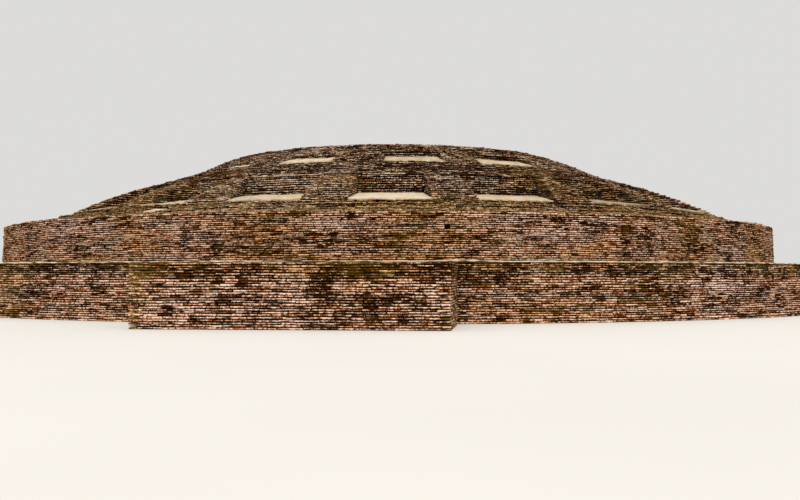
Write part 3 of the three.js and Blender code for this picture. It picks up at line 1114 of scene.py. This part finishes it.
class STUPA_OT_platforms(Operator):
    """Lays the four platforms that stand against the terrace on its axes."""

    bl_idname = "stupa.platforms"
    bl_label = "Platforms"

    def execute(self, context):
        for index, side in enumerate(("front", "right", "rear", "left")):
            self.lay_platform(context.scene.stupa_bricks, side, index)
        return {"FINISHED"}

    def lay_platform(self, brick, side, index):
        pile = BrickPile(brick.seed + 20 + index, header_share=0.4)
        turn = index * math.pi / 2
        looks = polar(1.0, turn, 0.0)[:2]
        right = polar(1.0, turn + math.pi / 2, 0.0)[:2]
        self.lay_faces(pile, brick, looks, right)
        self.lay_top(pile, brick, looks, right)
        seed = 131 + 10 * index
        brick_piece(side + "_platform_bricks", pile, wall_brick(), lambda face: self.facts(face, seed),
                    replaces=[side + "_platform"])

    def lay_faces(self, pile, brick, looks, right):
        """The front and the flanks, course by course. They take turns to lap round the corners."""
        outer = PLATFORM_REACH - FACE_INSET
        courses = courses_between(0, PLATFORM_LEVEL, round(PLATFORM_LEVEL / brick.course), pile.rng)
        for course, (level, step) in enumerate(courses):
            row = {"height": step - brick.joint, "drift": 0.005}
            front_lap, side_lap = (0.0, brick.depth) if course % 2 else (brick.depth, 0.0)
            half = right * (PLATFORM_HALF - front_lap)
            lay_line(pile, looks * outer - half, looks * outer + half, looks, level, **row)
            for hand in (-right, right):
                corner = hand * PLATFORM_HALF
                root = looks * (TERRACE_RADIUS - FLANK_ROOT) + corner
                lay_line(pile, root, looks * (outer - side_lap) + corner, hand, level, **row)

    def lay_top(self, pile, brick, looks, right):
        """Rows of headers, from behind the front back into the terrace."""
        outer = PLATFORM_REACH - FACE_INSET
        half = right * (PLATFORM_HALF - brick.depth)
        level = PLATFORM_LEVEL - brick.course
        for reach in np.arange(outer - brick.depth, TERRACE_RADIUS - TOP_ROOT, -brick.depth):
            lay_line(pile, looks * reach - half, looks * reach + half, looks, level, drift=0.002)

    def facts(self, face, seed):
        """More growth near the top and on the flanks, which are also more tan."""
        near_top = smooth_step(face[:, 2], 0.68, 0.86)
        reach = np.abs(face[:, :2]).max(axis=1)
        half = np.abs(face[:, :2]).min(axis=1)
        flank = (np.abs(half - PLATFORM_HALF) < 0.05) & (reach < PLATFORM_REACH - 0.05)
        growth = 0.1 + 1.2 * near_top + 0.6 * flank
        hue = np.maximum(0.35 * near_top, 0.45 * flank)
        return weathering(face, seed, growth_bias=growth, tone_bias=-0.08 * near_top, hue_bias=hue)


class STUPA_OT_drum(Operator):
    """Lays the drum's round wall, battered a little, on the terrace."""

    bl_idname = "stupa.drum"
    bl_label = "Drum"

    def execute(self, context):
        brick = context.scene.stupa_bricks
        pile = BrickPile(brick.seed + 2, header_share=0.85)
        courses = round((RIM_LEVEL - LEDGE_LEVEL) / brick.course)
        hole = math.radians(HOLE_ANGLE)
        half = 0.5 * HOLE_WIDTH / DRUM_RADIUS
        for level, step in courses_between(LEDGE_LEVEL, RIM_LEVEL, courses, pile.rng):
            radius = DRUM_RADIUS - WALL_BATTER * (level - LEDGE_LEVEL) / (RIM_LEVEL - LEDGE_LEVEL)
            row = {"height": step - brick.joint, "drift": 0.009}
            if abs(level + step / 2 - HOLE_LEVEL) < brick.course:
                lay_arc(pile, radius, hole + half, hole - half + TURN, level, **row)
            else:
                lay_ring(pile, radius, level, **row)
        behind = DRUM_RADIUS - WALL_BATTER - brick.depth
        lay_ring(pile, behind, level, height=row["height"], depth=brick.length)
        brick_piece("drum_wall", pile, wall_brick(), self.facts, replaces=["drum"])
        disc_core("drum_core", LEDGE_LEVEL - 0.01, RIM_LEVEL - 0.03, DRUM_RADIUS - 0.14, DRUM_RADIUS - 0.16)
        return {"FINISHED"}

    def facts(self, face):
        """Growth under the rim and at the far right, clean and tan at the foot, worn away from the middle."""
        foot = 1 - smooth_step(face[:, 2], LEDGE_LEVEL + 0.04, LEDGE_LEVEL + 0.16)
        rim = smooth_step(face[:, 2], RIM_LEVEL - 0.16, RIM_LEVEL - 0.02)
        angle = np.degrees(angles_of(face))
        right_end = smooth_step(angle, 62, 88)
        left_end = smooth_step(-angle, 25, 45)
        worn = smooth_step(np.abs(angle - 2), 10, 20)
        growth = 0.6 * rim - 0.55 * foot + 0.2 * right_end - 0.2 * worn
        hue = 0.7 * np.maximum(right_end, 0.6 * left_end) + 0.4 * foot
        return weathering(face, 201, growth_bias=growth, tone_bias=0.12 * foot + 0.04 * worn, hue_bias=hue)


class STUPA_OT_mound(Operator):
    """Lays the mound over the drum in worn, stepped courses, with ribs round the two rings of pockets."""

    bl_idname = "stupa.mound"
    bl_label = "Mound"

    def execute(self, context):
        self.plain_stage("shoulder", RIM_LEVEL, 301, wander=0.05)
        self.ring_stage("lower", SHOULDER_LEVEL, 311)
        self.plain_stage("middle_stage", node_top("lower_bed_ring"), 321, wander=0.04)
        self.ring_stage("upper", node_top("middle_stage"), 331)
        self.plain_stage("crown", node_top("upper_bed_ring"), 341, wander=0.03)
        self.core()
        return {"FINISHED"}

    def plain_stage(self, node, bottom, seed, wander):
        look = STAGE_LOOKS[node]
        pile = BrickPile(seed, broken=True, edge_highlight_and_shade=look.get("edge_highlight_and_shade", 0.75))
        if node == "middle_stage":
            lay_wall_caps(pile, bottom, ring_plan("lower")[1])
            bottom += CAP_HEIGHT + 0.004
        pile.wander = wander
        lay_stage(pile, bottom, node_top(node), drift=0.02)
        if node == "shoulder":
            self.clear_bed(pile, bed_plan("small_bed"))
        brick_piece(node + "_bricks", pile, mound_brick(),
                    lambda face: self.weather(face, seed, look, rows=0.8),
                    drop=0.01, replaces=[node])

    def clear_bed(self, pile, plan):
        """Takes away the bricks that would stand over a bed."""
        for row, face in enumerate(pile.face):
            radius, turn = np.hypot(face[:, 0], face[:, 1]), angles_of(face)
            over = (turn > plan["low"] - 0.01) & (turn < plan["high"] + 0.01)
            over &= (radius > plan["back"]) & (radius < plan["front"] + 0.6)
            over &= face[:, 2] > plan["front_level"] - 0.06
            for rows in (pile.face, pile.out, pile.along, pile.size, pile.bloom):
                rows[row] = rows[row][~over]

    def ring_stage(self, ring, bottom, seed):
        node = ring + "_bed_ring"
        plans = ring_plan(ring)[1]
        top = node_top(node)
        brick = settings_of("stupa_bricks")
        pile = BrickPile(seed, broken=True, edge_highlight_and_shade=0.7, course=brick.rib_course, joint=brick.rib_joint)
        lay_stage(pile, bottom, top, drift=0.014, plans=plans)
        for plan in plans:
            lay_pocket(pile, plan, top)
        look = STAGE_LOOKS[node]
        brick_piece(node + "_bricks", pile, mound_brick(),
                    lambda face: self.ring_facts(face, plans, seed, look),
                    replaces=[node])

    def weather(self, face, seed, look, rows):
        """The mound's weathering: more growth at its left end, paler and with less growth left of the front.
        """
        angle = np.degrees(angles_of(face))
        far_left = smooth_step(-angle, 20, 50)
        near_left = smooth_step(-angle, -5, 5) * smooth_step(-angle, 27, 19)
        growth = look["growth_bias"] + 0.9 * far_left - 0.5 * near_left
        tone = look["tone_bias"] - 0.16 * far_left + 0.24 * near_left
        hue = look.get("hue_bias", 0.0) - 0.3 * near_left
        return weathering(face, seed, growth, tone, hue, look.get("unrest", 2.1), rows)

    def ring_facts(self, face, plans, seed, look):
        """A ring's weathering, with growth colour at the foot of the pockets' back walls: moss and painted
        shade.
        """
        radius = np.hypot(face[:, 0] - MOUND_SHIFT[0], face[:, 1] - MOUND_SHIFT[1])
        foot = plans[0]["back_level"] + 0.14
        behind = smooth_step(radius, plans[0]["back"] + 0.08, plans[0]["back"] + 0.03)
        facts = self.weather(face, seed, look, rows=0.6)
        # Moss and painted shade: more growth colour low on the pockets' back walls, in the recess.
        facts[:, 1] += look["foot_moss_and_shade"] * behind * (face[:, 2] < foot)
        return facts

    def core(self):
        """The mortar core follows the outline some way in, and drops below the beds at the two rings."""
        low, high = bed_plan("lower_bed_01"), bed_plan("upper_bed_01")
        under_rim = RIM_LEVEL - CORE_UNDER_RIM
        profile = [
            (0, under_rim),
            (DRUM_RADIUS - 0.45, under_rim),
            *CORE_SHOULDER,
            (low["front"] - 0.12, low["front_level"] - CORE_UNDER_BEDS),
            (low["back"] - 0.1, low["back_level"] - CORE_UNDER_BEDS),
            (low["back"] - 0.13, CORE_LOWER_BACK),
            *CORE_MIDDLE,
            (high["front"] - 0.1, high["front_level"] - CORE_UNDER_BEDS),
            (high["back"] - 0.1, high["back_level"] - CORE_UNDER_BEDS),
            (high["back"] - 0.3, CORE_UPPER_BACK),
            *CORE_CROWN,
        ]
        core_piece("mound_core", profile)


class STUPA_OT_beds(Operator):
    """Spreads the plaster beds in their pockets."""

    bl_idname = "stupa.beds"
    bl_label = "Plaster beds"

    def execute(self, context):
        material = bed_plaster()
        nodes = [*ring_plan("lower")[0], *ring_plan("upper")[0], "small_bed"]
        for index, node in enumerate(nodes):
            earth = UPPER_EARTH if node.startswith("upper") else LOWER_EARTH
            bed_piece(node, material, 400 + 5 * index, BED_EARTH.get(node, earth))
        return {"FINISHED"}


class STUPA_OT_stage(Operator):
    """Sets the pale floor, the soft light and the camera."""

    bl_idname = "stupa.stage"
    bl_label = "Stage"

    def execute(self, context):
        scene = context.scene
        self.floor()
        self.light(scene)
        self.camera(scene)
        scene.view_settings.view_transform = "Standard"
        return {"FINISHED"}

    def floor(self):
        corners = FLOOR_REACH * np.array([[-1, -1, 0], [1, -1, 0], [1, 1, 0], [-1, 1, 0]])
        floor = mesh_object("floor", corners, np.array([[0, 1, 2, 3]]))
        floor.data.materials.append(studio_floor())

    def light(self, scene):
        world = bpy.data.worlds.new("studio")
        world.use_nodes = True
        background = world.node_tree.nodes["Background"]
        background.inputs["Color"].default_value = scene.stupa_stage.sky
        background.inputs["Strength"].default_value = scene.stupa_stage.sky_strength
        scene.world = world
        lamp = bpy.data.lights.new("key", "SUN")
        lamp.energy = scene.stupa_stage.key_strength
        lamp.angle = math.radians(KEY_SOFTNESS)
        lamp.color = (1.0, 0.97, 0.92)
        key = bpy.data.objects.new("key", lamp)
        key.rotation_euler = (math.radians(KEY_TILT), 0, math.radians(KEY_TURN))
        scene.collection.objects.link(key)

    def camera(self, scene):
        data = bpy.data.cameras.new("photo_view")
        data.lens = CAMERA_LENS
        data.sensor_width = 36
        data.clip_end = 3000
        camera = bpy.data.objects.new("photo_view", data)
        camera.location = polar(CAMERA_DISTANCE, math.radians(CAMERA_AZIMUTH), CAMERA_HEIGHT)
        tilt = math.radians(90 + CAMERA_AIM_UP)
        camera.rotation_euler = (tilt, 0, math.radians(CAMERA_AZIMUTH - CAMERA_AIM_RIGHT))
        scene.collection.objects.link(camera)
        scene.camera = camera


OPERATORS = (
    STUPA_OT_terrace,
    STUPA_OT_ledge_cap,
    STUPA_OT_platforms,
    STUPA_OT_drum,
    STUPA_OT_mound,
    STUPA_OT_beds,
    STUPA_OT_stage,
)


class STUPA_PT_panel(Panel):
    """Lists the stupa's pieces in the sidebar."""

    bl_label = "Ruined brick stupa"
    bl_space_type = "VIEW_3D"
    bl_region_type = "UI"
    bl_category = "Stupa"

    def draw(self, context):
        for operator in OPERATORS:
            self.layout.operator(operator.bl_idname)
        for group in ("stupa_bricks", "stupa_beds", "stupa_stage"):
            values = getattr(context.scene, group)
            box = self.layout.box()
            for name in values.__annotations__:
                box.prop(values, name)


SETTINGS = {
    "stupa_bricks": StupaBrickSettings,
    "stupa_beds": StupaBedSettings,
    "stupa_stage": StupaStageSettings,
}


def register():
    for group in SETTINGS.values():
        bpy.utils.register_class(group)
    for name, group in SETTINGS.items():
        setattr(bpy.types.Scene, name, PointerProperty(type=group))
    for kind in (*OPERATORS, STUPA_PT_panel):
        bpy.utils.register_class(kind)


def unregister():
    for kind in (*OPERATORS, STUPA_PT_panel):
        bpy.utils.unregister_class(kind)
    for name, group in SETTINGS.items():
        delattr(bpy.types.Scene, name)
        bpy.utils.unregister_class(group)


def main():
    register()
    bpy.ops.stupa.terrace()
    bpy.ops.stupa.ledge_cap()
    bpy.ops.stupa.platforms()
    bpy.ops.stupa.drum()
    bpy.ops.stupa.mound()
    bpy.ops.stupa.beds()
    bpy.ops.stupa.stage()


if __name__ == "__main__":
    main()
